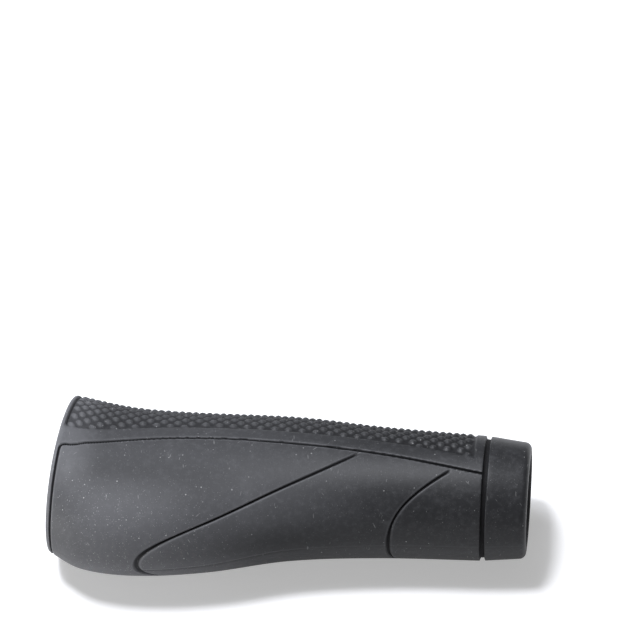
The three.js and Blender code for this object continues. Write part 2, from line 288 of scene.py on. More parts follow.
class PanelGrooves:
    """The grooves that frame and part the panels, on the upper side and the underside."""

    STOPS_PER_LEG = 700
    CORNER_STOPS = 87
    LIP_STOPS = 233
    # The frame groove starts to rise from its dip this far before its corner, in millimetres
    DIP_LEAD = 0.9
    # Share of a branch over which it gains its depth
    FADE_IN: Span = (-0.01, 0.03)
    # Foot and top of a groove's wall, in half widths
    WALL: Span = (0.40, 1.15)
    # Place and breadth of the painted highlight on the shoulder beside a groove, in millimetres
    SHOULDER_OFFSET = 0.25
    SHOULDER_BREADTH = 0.22

    def __init__(self, skin: Skin) -> None:
        """Lays the routes.

        Args:
            skin: The smooth surface that the grooves are cut into.
        """
        self.skin = skin
        self.grooves = [self._frame()] + [self._branch(branch) for branch in BRANCHES]
        self.trees = []
        for groove in self.grooves:
            route = skin.points(groove.s, groove.angle)
            tree = KDTree(len(route))
            for i, point in enumerate(route):
                tree.insert(point, i)
            tree.balance()
            self.trees.append(tree)

    def _frame(self) -> Groove:
        """Runs from the collar along the front of the panels and down the lip of the end."""
        sizes = self.skin.sizes
        straight_end = sizes.lip_width + sizes.corner_reach
        s = np.linspace(sizes.body_length, straight_end, self.STOPS_PER_LEG)
        dip = 1.0 - smoothstep(s, straight_end - self.DIP_LEAD, sizes.corner_dip_until)
        angle = self.skin.panel_angle(s) + math.radians(sizes.corner_dip) * dip
        half_width = float(self.skin.section(np.array([sizes.lip_width]))[1][0])
        sweep = sizes.corner_reach / 2 / half_width
        t = np.linspace(0.0, 1.0, self.CORNER_STOPS)[1:]
        corner = self._bezier(t, [
            (straight_end, float(angle[-1])),
            (sizes.lip_width, float(angle[-1]) + sweep / 2),
            (sizes.lip_width, float(angle[-1]) + 2 * sweep),
        ])
        lip_angle = np.linspace(corner[-1, 1], math.pi, self.LIP_STOPS)[1:]
        s = np.concatenate([s, corner[:, 0], np.full_like(lip_angle, sizes.lip_width)])
        angle = np.concatenate([angle, corner[:, 1], lip_angle])
        return Groove(s, angle, np.full_like(s, sizes.groove_width), np.ones_like(s))

    def _branch(self, branch: Branch) -> Groove:
        """Lays the bowed route of a branch.

        Args:
            branch: Sizes of the branch.

        Returns:
            The route.
        """
        sizes = self.skin.sizes
        start_angle = float(self.skin.panel_angle(np.array([branch.start_at]))[0])
        start_angle += branch.gap / (sizes.collar_diameter / 2)
        t = np.linspace(0.0, 1.0, self.STOPS_PER_LEG)
        route = self._bezier(t, [
            (branch.start_at, start_angle),
            (branch.start_at + branch.start_handle[0],
             start_angle + math.radians(branch.start_handle[1])),
            (branch.end_at + branch.end_handle[0],
             math.pi + math.radians(branch.end_handle[1])),
            (branch.end_at, math.pi),
        ])
        widening = (branch.end_width - sizes.groove_width) * smoothstep(t, sizes.widen_from, 1.0)
        width = sizes.groove_width + widening
        return Groove(route[:, 0], route[:, 1], width, smoothstep(t, *self.FADE_IN))

    @staticmethod
    def _bezier(t: np.ndarray, handles: Sequence[tuple[float, float]]) -> np.ndarray:
        """Samples a Bezier curve of any order.

        Args:
            t: Places on the curve, from 0 to 1.
            handles: The curve's handles.

        Returns:
            One row of distance and angle for each place.
        """
        order = len(handles) - 1
        result = np.zeros((len(t), 2))
        for i, handle in enumerate(handles):
            weight = math.comb(order, i) * t ** i * (1.0 - t) ** (order - i)
            result += weight[:, None] * np.array(handle)
        return result

    def nearest(self, s: np.ndarray, angle: np.ndarray) -> list[tuple[np.ndarray, ...]]:
        """Finds each groove's nearest stop from some points of the skin.

        Args:
            s: Distances from the closed end.
            angle: Angles round the section.

        Returns:
            For each groove, the distances to it, and its half widths and strengths there.
        """
        # The underside has the same grooves, so its points are looked up on the upper side
        folded = np.where(angle > math.pi, 2 * math.pi - angle, angle)
        points = self.skin.points(s, folded)
        found = []
        for groove, tree in zip(self.grooves, self.trees):
            near = [tree.find(point) for point in points]
            distance = np.array([item[2] for item in near])
            stop = [item[1] for item in near]
            found.append((distance, groove.width[stop] / 2, groove.strength[stop]))
        return found

    def depth(self, s: np.ndarray, angle: np.ndarray) -> tuple[np.ndarray, ...]:
        """Measures how deep the grooves are at some points of the skin.

        Args:
            s: Distances from the closed end.
            angle: Angles round the section.

        Returns:
            Depth in millimetres, the strength of the painted shade from 0 to 1, which is less in a
            wide groove, and the strength of the painted highlight beside a groove's shoulder from 0
            to 1.
        """
        sizes = self.skin.sizes
        deepest = np.zeros(len(s))
        dark = np.zeros(len(s))
        shoulder = np.zeros(len(s))
        for distance, half, strength in self.nearest(s, angle):
            wall = strength * (1.0 - smoothstep(distance / half, *self.WALL))
            deepest = np.maximum(deepest, sizes.groove_depth * wall)
            dark = np.maximum(dark, wall * np.sqrt(sizes.groove_width / (2 * half)))
            off = (distance - half - self.SHOULDER_OFFSET) / self.SHOULDER_BREADTH
            shoulder = np.maximum(shoulder, strength * np.exp(-off ** 2))
        return deepest, dark, shoulder

    def reach(self, s: np.ndarray, angle: np.ndarray) -> np.ndarray:
        """Measures how far points of the skin are from the edge of the nearest groove."""
        return np.min([near[0] - near[1] for near in self.nearest(s, angle)], axis=0)


class KnobBand:
    """The band of staggered knobs round the front of the grip."""

    KNOB_RADIUS = 1.22
    KNOB_ROUNDNESS = 1.35
    # How far the sunk ground goes past the last knobs, and how wide the step up from it is
    SIDE_ROOM = 0.55
    END_ROOM = 0.2
    STEP_WIDTH = 0.5
    NO_KNOB = 1e3

    def __init__(self, skin: Skin) -> None:
        """Keeps the skin that the band lies on.

        Args:
            skin: The smooth surface.
        """
        self.skin = skin

    def edge_angle(self, s: np.ndarray) -> np.ndarray:
        """Gives the angle at which the band ends above the smooth strip."""
        half_width = self.skin.section(s)[1]
        return self.skin.panel_angle(s) - self.skin.sizes.strip_width / half_width

    def relief(self, s: np.ndarray, angle: np.ndarray) -> tuple[np.ndarray, np.ndarray, np.ndarray]:
        """Measures the relief of the band.

        Args:
            s: Distances from the closed end.
            angle: Angles round the section.

        Returns:
            Lift off the smooth skin in millimetres, how far inside the band each point lies,
            from 0 to 1, and the height on its knob, from 0 to 1.
        """
        sizes = self.skin.sizes
        row_angle = self.skin.row_angle(np.minimum(s, sizes.body_length))
        gap = sizes.knob_pitch / 2
        from_front = np.abs(np.where(angle > math.pi, 2 * math.pi - angle, angle))
        column = (s - sizes.band_start) / gap
        row = from_front / row_angle
        _, half_width, half_height, _ = self.skin.section(s)
        reach = np.hypot(half_width * np.sin(from_front), half_height * np.cos(from_front))
        best = np.full(len(s), self.NO_KNOB)
        for side in (0, 1):
            # Knobs of the even columns stand in the even rows, and odd ones in the odd rows
            centre_column = 2 * np.round((column - side) / 2) + side
            centre_row = 2 * np.round((row - side) / 2) + side
            centre_s = sizes.band_start + centre_column * gap
            inside = (centre_column > 0.5) & (centre_column < sizes.band_columns - 0.5)
            inside &= centre_row * self.skin.row_angle(centre_s) <= self.edge_angle(centre_s)
            along = (column - centre_column) * gap
            around = (row - centre_row) * row_angle * reach
            best = np.minimum(best, np.where(inside, np.hypot(along, around), self.NO_KNOB))
        knob = np.clip(1.0 - (best / self.KNOB_RADIUS) ** 2, 0.0, 1.0) ** self.KNOB_ROUNDNESS
        margin = (self.edge_angle(s) - from_front) * reach + self.SIDE_ROOM
        band_end = sizes.band_start + sizes.band_columns * gap
        to_end = np.minimum(s - sizes.band_start, band_end - s)
        floor = smoothstep(np.minimum(margin, to_end + self.END_ROOM), 0.0, self.STEP_WIDTH)
        lift = -sizes.band_recess * floor
        lift += (sizes.knob_rise + sizes.band_recess * floor) * knob
        return lift, floor, knob


class Surface(Enum):
    """Which surface a row of the mesh lies on."""

    SKIN = "skin"
    ROUND = "round"


@dataclass
class Station:
    """One row of the skin's mesh along the grip."""

    s: float
    inset: float = 0.0
    share: float = 1.0
    radius: float = 0.0
    surface: Surface = Surface.SKIN


@dataclass
class GripPiece:
    """Builds the dressed grip as one closed mesh."""

    sizes: GripSizes = field(default_factory=GripSizes)
    name: str = "grip_skin"
    band_rows: int = 18
    rear_columns: int = 36

    GROOVE_MARGINS = (2.8, 1.0)
    END_RINGS = (0.0, 0.35, 0.7, 0.92)
    RIM_ROWS = 5
    MOUTH_ROWS = 7
    LAND = 0.3
    LAND_ROWS = 3
    COLLAR_ROWS = 6
    # Rows of the collar groove's wall: distance in from its edge and share of its depth
    GROOVE_WALL = ((-0.08, 0.03), (0.02, 0.14), (0.10, 0.4), (0.18, 0.8), (0.35, 1.0))
    # Light from above reaches into the collar groove, so its painted shade is narrower there
    GROOVE_SHADE = 0.8
    LIT_SHARPNESS = 2.5
    LIT_UP: Span = (0.5, 0.95)
    # Painted shade along the band's first edge, where the ground steps down
    LINE_SHADE = 0.9
    LINE_OFFSET = 0.35
    LINE_BREADTH = 0.42
    BORE_FADE_ROWS = 3
    # The rear starts where the cosine of the angle from the front falls below this
    REAR_COSINE = -0.3
    REAR_STOPS = 2000
    WELD_DISTANCE = 2e-6
    SHARP_DEGREES = 60.0

    def __post_init__(self) -> None:
        """Sets up the surfaces that the mesh follows."""
        self.skin = Skin(self.sizes)
        self.grooves = PanelGrooves(self.skin)
        self.band = KnobBand(self.skin)
        self.stations: list[Station] = []
        self._lay_end()
        self._lay_body()
        self._lay_collar_groove()
        self._lay_mouth()
        self._lay_bore()

    @staticmethod
    def _quarter(steps: int) -> np.ndarray:
        """Gives the angles of a rounding's rows."""
        return np.linspace(0.0, math.pi / 2, steps)

    def _lay_end(self) -> None:
        """Lists the rows of the closed end and its rounded rim."""
        sizes = self.sizes
        for share in self.END_RINGS:
            self.stations.append(Station(0.0, sizes.rim_rounding, share))
        for turn in self._quarter(self.RIM_ROWS):
            s = sizes.rim_rounding * (1.0 - math.cos(turn))
            self.stations.append(Station(s, sizes.rim_rounding * (1.0 - math.sin(turn))))
        self.end_row = len(self.stations) - 1

    def _lay_body(self) -> None:
        """Lists the rows of the body, one for each half pitch of the knobs."""
        sizes = self.sizes
        gap = sizes.knob_pitch / 2
        self.band_first = len(self.stations)
        for column in range(sizes.band_columns + 1):
            self.stations.append(Station(sizes.band_start + column * gap))

    def _lay_collar_groove(self) -> None:
        """Lists the rows of the groove between body and collar."""
        sizes = self.sizes
        half = sizes.collar_groove_width / 2
        band_end = self.stations[-1].s
        edge = sizes.body_length - half - self.LAND
        for k in range(1, self.LAND_ROWS + 1):
            self.stations.append(Station(band_end + (edge - band_end) * k / self.LAND_ROWS))
        wall = [(inward - half, share) for inward, share in self.GROOVE_WALL]
        far_wall = [(-offset, share) for offset, share in reversed(wall)]
        self.groove_first = len(self.stations)
        for offset, share in [*wall, (0.0, 1.0), *far_wall, (half + self.LAND, 0.0)]:
            inset = sizes.collar_groove_depth * share
            self.stations.append(Station(sizes.body_length + offset, inset))
        self.groove_last = len(self.stations) - 1

    def _lay_mouth(self) -> None:
        """Lists the rows of the collar and its rounded mouth."""
        sizes = self.sizes
        start = self.stations[-1].s
        end = sizes.length - sizes.mouth_rounding
        for k in range(1, self.COLLAR_ROWS):
            self.stations.append(Station(start + (end - start) * k / self.COLLAR_ROWS))
        for turn in self._quarter(self.MOUTH_ROWS):
            s = sizes.length - sizes.mouth_rounding * (1.0 - math.sin(turn))
            self.stations.append(Station(s, sizes.mouth_rounding * (1.0 - math.cos(turn))))
        self.mouth_row = len(self.stations) - 1

    def _lay_bore(self) -> None:
        """Lists the rows of the flat ring, the chamfer and the blind bore."""
        sizes = self.sizes
        bore = sizes.bore_diameter / 2
        chamfer = sizes.mouth_chamfer
        # Distance from the closed end and radius of each row, with the edges slightly eased
        profile = (
            (sizes.length, bore + chamfer + 0.12),
            (sizes.length - 0.06, bore + chamfer),
            (sizes.length - chamfer, bore + 0.08),
            (sizes.length - chamfer - 0.15, bore),
            (sizes.length - 8.0, bore),
            (sizes.length / 2, bore),
            (sizes.end_wall + 0.6, bore),
            (sizes.end_wall + 0.15, bore - 0.2),
            (sizes.end_wall, bore - 0.6),
            (sizes.end_wall, bore / 2),
            (sizes.end_wall, 0.0),
        )
        for s, radius in profile:
            self.stations.append(Station(s, radius=radius, surface=Surface.ROUND))

    @property
    def columns(self) -> int:
        """Columns of the mesh round the section, before it is refined."""
        return 2 * self.band_rows + self.rear_columns

    def build(self) -> bpy.types.Object:
        """Makes the grip's mesh and object.

        Returns:
            The dressed grip, at the place of the solid that it stands for.
        """
        grid = bmesh.new()
        rows = len(self.stations) - 1
        bmesh.ops.create_grid(grid, x_segments=rows, y_segments=self.columns, size=0.5)
        bmesh.ops.translate(grid, verts=grid.verts, vec=(0.5, 0.5, 0.0))
        bmesh.ops.scale(grid, verts=grid.verts, vec=(rows, self.columns, 1.0))
        self._refine(grid)
        mesh = bpy.data.meshes.new(self.name)
        grid.to_mesh(mesh)
        grid.free()
        self._wrap(mesh)
        self._weld(mesh)
        piece = bpy.data.objects.new(self.name, mesh)
        bpy.context.scene.collection.objects.link(piece)
        return piece

    def _refine(self, grid: bmesh.types.BMesh) -> None:
        """Cuts the cells of the body finely, and those along the grooves more finely.

        Args:
            grid: The flat mesh in rows and columns.
        """
        wide, narrow = self.GROOVE_MARGINS
        self._cut(grid, self._body_faces(grid))
        body = self._body_faces(grid)
        self._cut(grid, [face for face in body if self._is_band(face)] + self._near(body, wide))
        self._cut(grid, self._near(self._body_faces(grid), narrow))

    def _body_faces(self, grid: bmesh.types.BMesh) -> list[bmesh.types.BMFace]:
        """Lists the faces of the body, between the end's rim and the collar groove."""
        first, last = self.end_row, self.groove_first
        return [face for face in grid.faces if first < face.calc_center_median().x < last]

    def _is_band(self, face: bmesh.types.BMFace) -> bool:
        """Tells whether a face lies under or beside the knobs."""
        column = face.calc_center_median().y
        return min(column, self.columns - column) < self.band_rows

    def _near(self, faces: list[bmesh.types.BMFace], margin: float) -> list[bmesh.types.BMFace]:
        """Picks the faces close to a groove.

        Args:
            faces: Faces to choose from.
            margin: Largest distance from the groove's edge, in millimetres.

        Returns:
            The close ones.
        """
        centres = np.array([face.calc_center_median()[:2] for face in faces])
        reach = self.grooves.reach(*self._unrolled(centres))
        return [face for face, gap in zip(faces, reach) if gap < margin]

    @staticmethod
    def _cut(grid: bmesh.types.BMesh, faces: list[bmesh.types.BMFace]) -> None:
        """Cuts faces into four."""
        edges = list({edge for face in faces for edge in face.edges})
        bmesh.ops.subdivide_edges(grid, edges=edges, cuts=1, use_grid_fill=True)

    def _unrolled(self, places: np.ndarray) -> tuple[np.ndarray, np.ndarray]:
        """Turns rows and columns of the mesh into distances and angles.

        Args:
            places: Row and column of each point.

        Returns:
            Distances from the closed end and angles round the section.
        """
        rows = np.arange(len(self.stations))
        s = np.interp(places[:, 0], rows, [station.s for station in self.stations])
        band_end = self.band_rows * self.skin.row_angle(np.minimum(s, self.sizes.body_length))
        column = places[:, 1]
        from_front = np.minimum(column, self.columns - column)
        share = (from_front - self.band_rows) / (self.rear_columns / 2)
        on_panels = band_end + (math.pi - band_end) * share
        angle = np.where(share < 0.0, band_end * from_front / self.band_rows, on_panels)
        return s, np.where(column > self.columns / 2, 2 * math.pi - angle, angle)

    def _wrap(self, mesh: bpy.types.Mesh) -> None:
        """Moves the flat mesh onto the grip's surface and notes its relief, and where shade and
        highlights are painted, for the finish.

        Args:
            mesh: The refined mesh in rows and columns.
        """
        flat = np.empty(len(mesh.vertices) * 3)
        mesh.vertices.foreach_get("co", flat)
        places = flat.reshape(-1, 3)[:, :2]
        row = places[:, 0]
        rows = np.arange(len(self.stations))
        s, angle = self._unrolled(places)
        inset = np.interp(row, rows, [station.inset for station in self.stations])
        share = np.interp(row, rows, [station.share for station in self.stations])
        radius = np.interp(row, rows, [station.radius for station in self.stations])
        on_round = [station.surface is Surface.ROUND for station in self.stations]
        in_bore = np.interp(row, rows, on_round) > 0.5
        shell = self.skin.points(s, angle, inset + self.sizes.skin_inset, share)
        on_body = (row > self.end_row) & (row < self.groove_first)
        lift, floor, knob = self.band.relief(s, angle)
        depth, dark, shoulder = self.grooves.depth(s, angle)
        lift = np.where(depth > 0.0, np.minimum(lift, 0.0), lift)
        rise = np.where(on_body, lift - depth, 0.0)
        shell += self.skin.normals(s, angle) * rise[:, None]
        bore = np.stack([s, radius * np.cos(angle), radius * np.sin(angle)], axis=-1)
        points = np.where(in_bore[:, None], bore, shell) * MM + np.array(self.origin())
        mesh.vertices.foreach_set("co", points.ravel())
        # Painted shade in the grooves, along the band's first edge and in the collar groove
        dark = np.maximum(dark, self._band_line(s, angle))
        in_groove = (row > self.groove_first) & (row < self.groove_last)
        sunk = np.where(in_groove, self._collar_shade(angle, inset), 0.0)
        self._note(mesh, "groove", np.where(on_body, dark, sunk))
        # Where the painted highlight beside the grooves lies
        self._note(mesh, "shoulder", np.where(on_body, shoulder, 0.0))
        self._note(mesh, "band", np.where(on_body, floor, 0.0))
        self._note(mesh, "knob", np.where(on_body & (floor > 0.0), knob, 0.0))
        # Painted shade that deepens over the first rows of the bore
        fade = (row - self.mouth_row) / self.BORE_FADE_ROWS
        self._note(mesh, "bore", np.clip(fade, 0.0, 1.0))
        end_face = row < len(self.END_RINGS) - 0.5
        self._note(mesh, "end_face", end_face)
        self._note(mesh, "lip", ~end_face & (row <= self.band_first))
        outside = (row >= self.end_row) & (row <= self.mouth_row)
        self._note(mesh, "rear", outside & (np.cos(angle) < self.REAR_COSINE))
        mesh.update()

    def _band_line(self, s: np.ndarray, angle: np.ndarray) -> np.ndarray:
        """Measures the painted shade along the band's first edge, where the ground steps down.

        Args:
            s: Distances from the closed end.
            angle: Angles round the section.

        Returns:
            Strength of the painted shade, from 0 to 1.
        """
        from_front = np.minimum(angle, 2 * math.pi - angle)
        off = (s - self.sizes.band_start - self.LINE_OFFSET) / self.LINE_BREADTH
        in_band = from_front < self.band.edge_angle(s)
        return np.where(in_band, self.LINE_SHADE * np.exp(-off ** 2), 0.0)

    def _collar_shade(self, angle: np.ndarray, inset: np.ndarray) -> np.ndarray:
        """Measures the painted shade in the collar groove.

        Args:
            angle: Angles round the section.
            inset: How far the skin is set in.

        Returns:
            Strength of the painted shade, from 0 to 1.
        """
        sharpness = 1.0 + self.LIT_SHARPNESS * smoothstep(np.sin(angle), *self.LIT_UP)
        share = np.clip(inset / self.sizes.collar_groove_depth, 0.0, 1.0)
        return self.GROOVE_SHADE * share ** sharpness

    @staticmethod
    def _note(mesh: bpy.types.Mesh, name: str, values: np.ndarray) -> None:
        """Stores one number for each vertex under a name."""
        layer = mesh.attributes.new(name, "FLOAT", "POINT")
        layer.data.foreach_set("value", values.astype(np.float32))

    def origin(self) -> tuple[float, float, float]:
        """Finds the bore axis at the closed end in the frame, from the solid's box."""
        low, high = (Vector(corner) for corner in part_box("grip"))
        stops = np.linspace(0.0, self.sizes.body_length, self.REAR_STOPS)
        rear = float(self.skin.rear(stops).max())
        return (high.x - self.sizes.length * MM, low.y + rear * MM, (low.z + high.z) / 2)

    def _weld(self, mesh: bpy.types.Mesh) -> None:
        """Joins the mesh along its seam and at its two poles, and turns its faces out.

        Args:
            mesh: The wrapped mesh.
        """
        skin = bmesh.new()
        skin.from_mesh(mesh)
        bmesh.ops.remove_doubles(skin, verts=skin.verts, dist=self.WELD_DISTANCE)
        bmesh.ops.recalc_face_normals(skin, faces=skin.faces)
        for face in skin.faces:
            face.smooth = True
        open_edges = sum(1 for edge in skin.edges if not edge.is_manifold)
        triangles = sum(len(face.verts) - 2 for face in skin.faces)
        LOG.info("grip skin: %d triangles, %d open edges", triangles, open_edges)
        skin.to_mesh(mesh)
        skin.free()
        mesh.set_sharp_from_angle(angle=math.radians(self.SHARP_DEGREES))


class Term:
    """A shader value that is worked out with the usual arithmetic signs."""

    def __init__(self, kit: "Finish", socket: Any) -> None:
        """Wraps a socket.

        Args:
            kit: The material that the value belongs to.
            socket: The node's output.
        """
        self.kit = kit
        self.socket = socket

    def _math(self, operation: str, *values: Any) -> "Term":
        """Adds a Math node."""
        return self.kit.node("ShaderNodeMath", {"operation": operation}, dict(enumerate(values)))

    def __add__(self, other: Any) -> "Term":
        """Adds."""
        return self._math("ADD", self, other)

    def __radd__(self, other: Any) -> "Term":
        """Adds, with the number first."""
        return self._math("ADD", other, self)

    def __sub__(self, other: Any) -> "Term":
        """Subtracts."""
        return self._math("SUBTRACT", self, other)

    def __rsub__(self, other: Any) -> "Term":
        """Subtracts from a number."""
        return self._math("SUBTRACT", other, self)

    def __mul__(self, other: Any) -> "Term":
        """Multiplies."""
        return self._math("MULTIPLY", self, other)

    def __rmul__(self, other: Any) -> "Term":
        """Multiplies, with the number first."""
        return self._math("MULTIPLY", other, self)

    def above(self, low: float, high: float) -> "Term":
        """Gives a smooth step from 0 at low to 1 at high."""
        settings = {"interpolation_type": "SMOOTHSTEP"}
        values = {"Value": self, "From Min": low, "From Max": high}
        return self.kit.node("ShaderNodeMapRange", settings, values, "Result")

    def most(self, other: Any) -> "Term":
        """Gives the larger of two values."""
        return self._math("MAXIMUM", self, other)


class Finish:
    """A material whose nodes are added one by one."""

    def __init__(self, name: str) -> None:
        """Starts an empty material.

        Args:
            name: Name of the material.
        """
        self.material = bpy.data.materials.new(name)
        self.material.use_nodes = True
        self.tree = self.material.node_tree
        self.tree.nodes.clear()

    def node(self, kind: str, settings: dict[str, Any] | None = None,
             values: dict[Any, Any] | None = None, output: Any = 0) -> Term:
        """Adds a node.

        Args:
            kind: The node's type.
            settings: Properties, which are set first.
            values: Numbers, colours or terms for its sockets, by name or number.
            output: Name or number of the output to use.

        Returns:
            The chosen output.
        """
        node = self.tree.nodes.new(kind)
        for key, value in (settings or {}).items():
            setattr(node, key, value)
        for key, value in (values or {}).items():
            if isinstance(value, Term):
                self.tree.links.new(value.socket, node.inputs[key])
            else:
                node.inputs[key].default_value = value
        return Term(self, node.outputs[output]) if len(node.outputs) else Term(self, None)

    def noted(self, name: str) -> Term:
        """Reads a number that the mesh stores for each vertex."""
        settings = {"attribute_name": name, "attribute_type": "GEOMETRY"}
        return self.node("ShaderNodeAttribute", settings, output="Fac")

    def place(self, scale: tuple[float, float, float] = (1.0, 1.0, 1.0),
              turn: tuple[float, float, float] = (0.0, 0.0, 0.0)) -> Term:
        """Gives the place on the object, stretched and turned.

        Args:
            scale: Stretch of the pattern along each axis.
            turn: Turn of the pattern in degrees.

        Returns:
            The place as a vector.
        """
        place = self.node("ShaderNodeTexCoord", output="Object")
        turned = self.node("ShaderNodeMapping", values={
            "Vector": place, "Rotation": tuple(math.radians(angle) for angle in turn)})
        return self.node("ShaderNodeMapping", values={"Vector": turned, "Scale": scale})

    def part(self, vector: Term, axis: str) -> Term:
        """Takes one number out of a vector."""
        return self.node("ShaderNodeSeparateXYZ", {}, {"Vector": vector}, axis)

    def noise(self, place: Term, sizes: Noise) -> Term:
        """Gives cloudy noise around one half, of some scale, detail and roughness."""
        values = dict(zip(("Scale", "Detail", "Roughness"), sizes))
        return self.node("ShaderNodeTexNoise", {}, {"Vector": place, **values})

    def bump(self, sizes: tuple[float, float], height: Term, under: Term | None = None) -> Term:
        """Gives the relief of a height, of some strength and distance, over other relief."""
        values = {"Strength": sizes[0], "Distance": sizes[1], "Height": height}
        if under:
            values["Normal"] = under
        return self.node("ShaderNodeBump", {}, values, "Normal")

    def principled(self, values: dict[str, Any]) -> Term:
        """Gives a surface."""
        return self.node("ShaderNodeBsdfPrincipled", {}, values, "BSDF")

    def mix(self, factor: Any, first: Any, second: Any) -> Term:
        """Mixes two colours."""
        settings = {"data_type": "RGBA"}
        return self.node("ShaderNodeMix", settings, {0: factor, 6: first, 7: second}, 2)

    def close(self, shader: Term) -> bpy.types.Material:
        """Ends the material with its surface."""
        self.node("ShaderNodeOutputMaterial", {}, {"Surface": shader})
        return self.material


@dataclass(frozen=True)
class Specks:
    """One kind of dust speck or short scratch.

    The scale is in cells to the metre, the size is the largest radius as a share of a cell, the
    share is that of the cells that hold one, and the turn of a scratch is in degrees.
    """

    scale: float
    size: float
    share: float
    strength: float = 1.0
    turn: float = 0.0

    # Least size and strength, as shares of the greatest, and breadth of the soft edge
    LEAST_SIZE = 0.3
    LEAST_STRENGTH = 0.35
    EDGE = 0.35
    PICK_EDGE = 0.02


@dataclass(frozen=True)
class WearAndLight:
    """How much of the paler colour each mark brings, from 0 to 1: some are dust, smears or rubbing,
    and some are painted light and painted highlights.
    """

    smear: float = 0.07
    mottle: float = 0.14
    wing: float = 0.60
    # Painted light, towards the closed end and more of it on the front
    painted_end_light: float = 0.05
    painted_front_light: float = 0.10
    # Painted light on the upper rear
    painted_light_patch: float = 0.26
    # Painted highlight on the closed end's rounded rim
    rim: float = 0.35
    # Painted highlight beside the grooves
    shoulder: float = 0.20
    knob: float = 0.10
    # Painted highlight on the mould line's step
    line: float = 0.24
    lip: float = 0.20


@dataclass(frozen=True)
class Rougher:
    """How much the mottle, the dust, the smears and the region of the painted end light add to the
    roughness.
    """

    mottle: float = 0.14
    dust: float = 0.12
    smear: float = -0.05
    # Roughness over the region of the painted end light
    painted_end_light: float = 0.12


